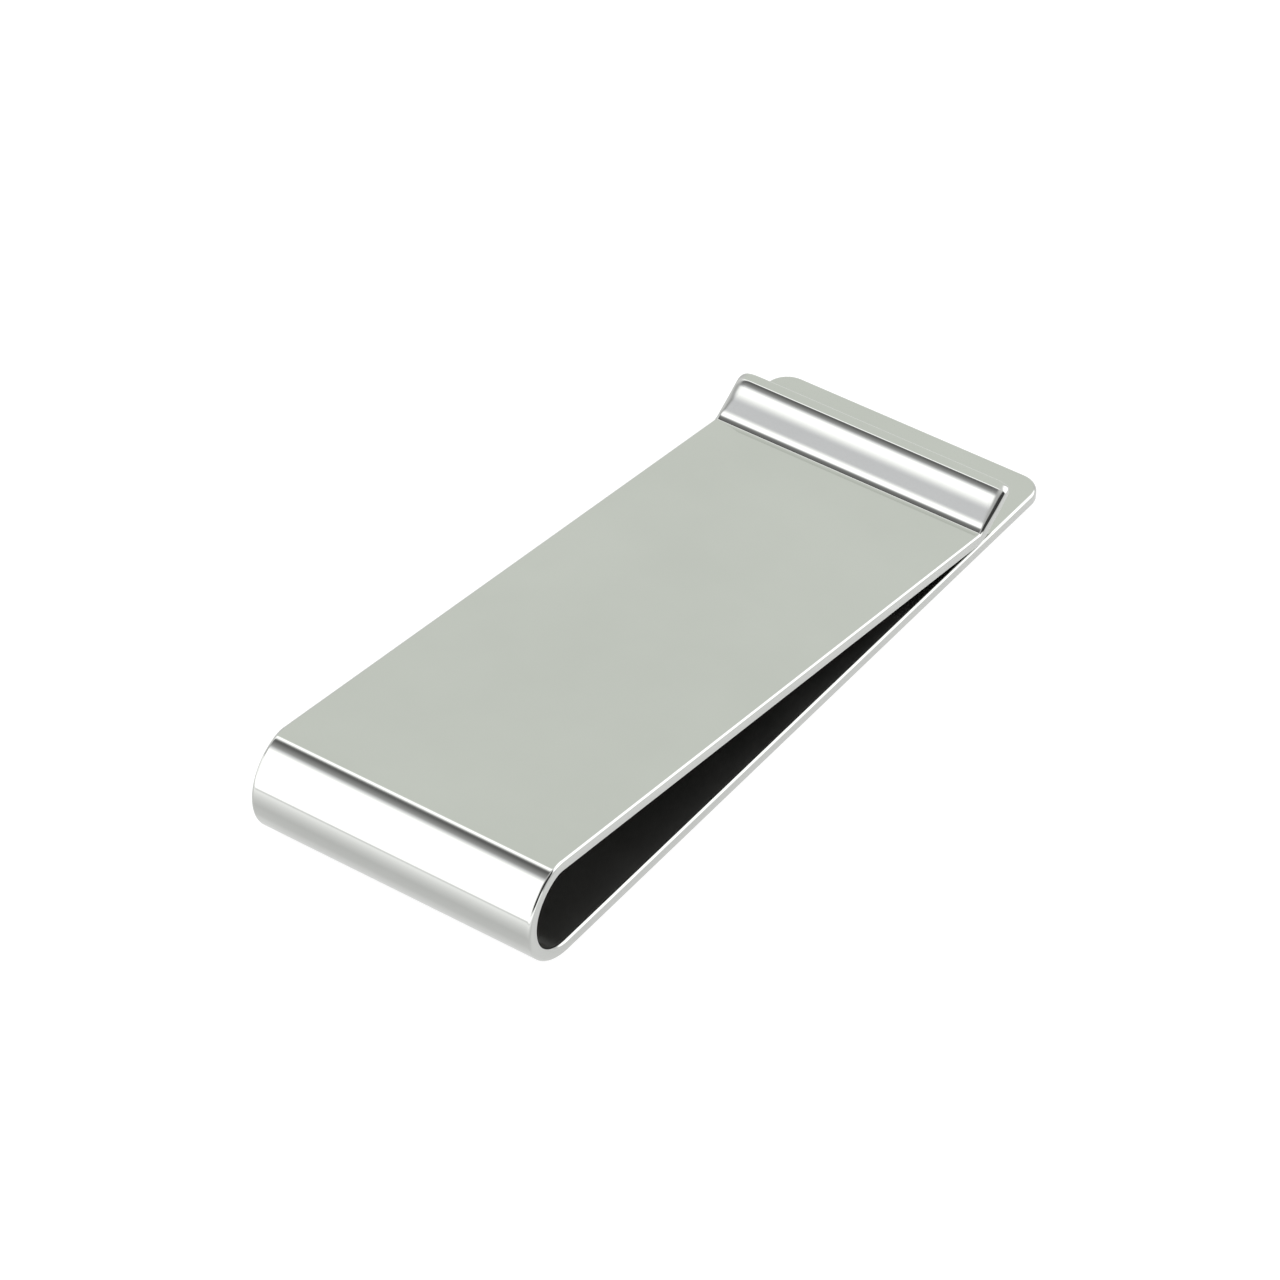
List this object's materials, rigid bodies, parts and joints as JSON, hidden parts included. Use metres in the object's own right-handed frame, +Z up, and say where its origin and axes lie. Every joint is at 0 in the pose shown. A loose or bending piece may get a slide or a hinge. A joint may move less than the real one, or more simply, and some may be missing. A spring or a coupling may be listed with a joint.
{
  "type": "money clip",
  "caption": "Slim folded-strip money clip: flat back plate, rounded spring fold, sloping front leaf with a sharp heel crease and an upturned thumb lip.",
  "frame": {"origin": "on the table, under the middle of the clip's bounding box", "axes": "+X along the clip from the spring fold to the thumb lip, Y across its width, +Z up out of the table the back plate rests on"},
  "size_m": [0.0679, 0.025, 0.0089],
  "materials": {
    "polished_steel": "mirror polished, with faint polishing scratches"
  },
  "bodies": {
    "back": {"back_plate": "polished_steel", "fold_lower": "polished_steel"},
    "leaf": {"fold_upper": "polished_steel", "front_leaf": "polished_steel", "contact_heel": "polished_steel", "thumb_lip": "polished_steel"}
  },
  "joints": [
    {"name": "fold_flex", "type": "hinge", "parent": "back", "child": "leaf", "pos_m": [-0.03345, 0, 0.00451], "axis": [0, -1, 0], "range_deg": [0, 8], "stiffness_Nm_per_rad": 12.5, "springref_deg": -1.15}
  ]
}
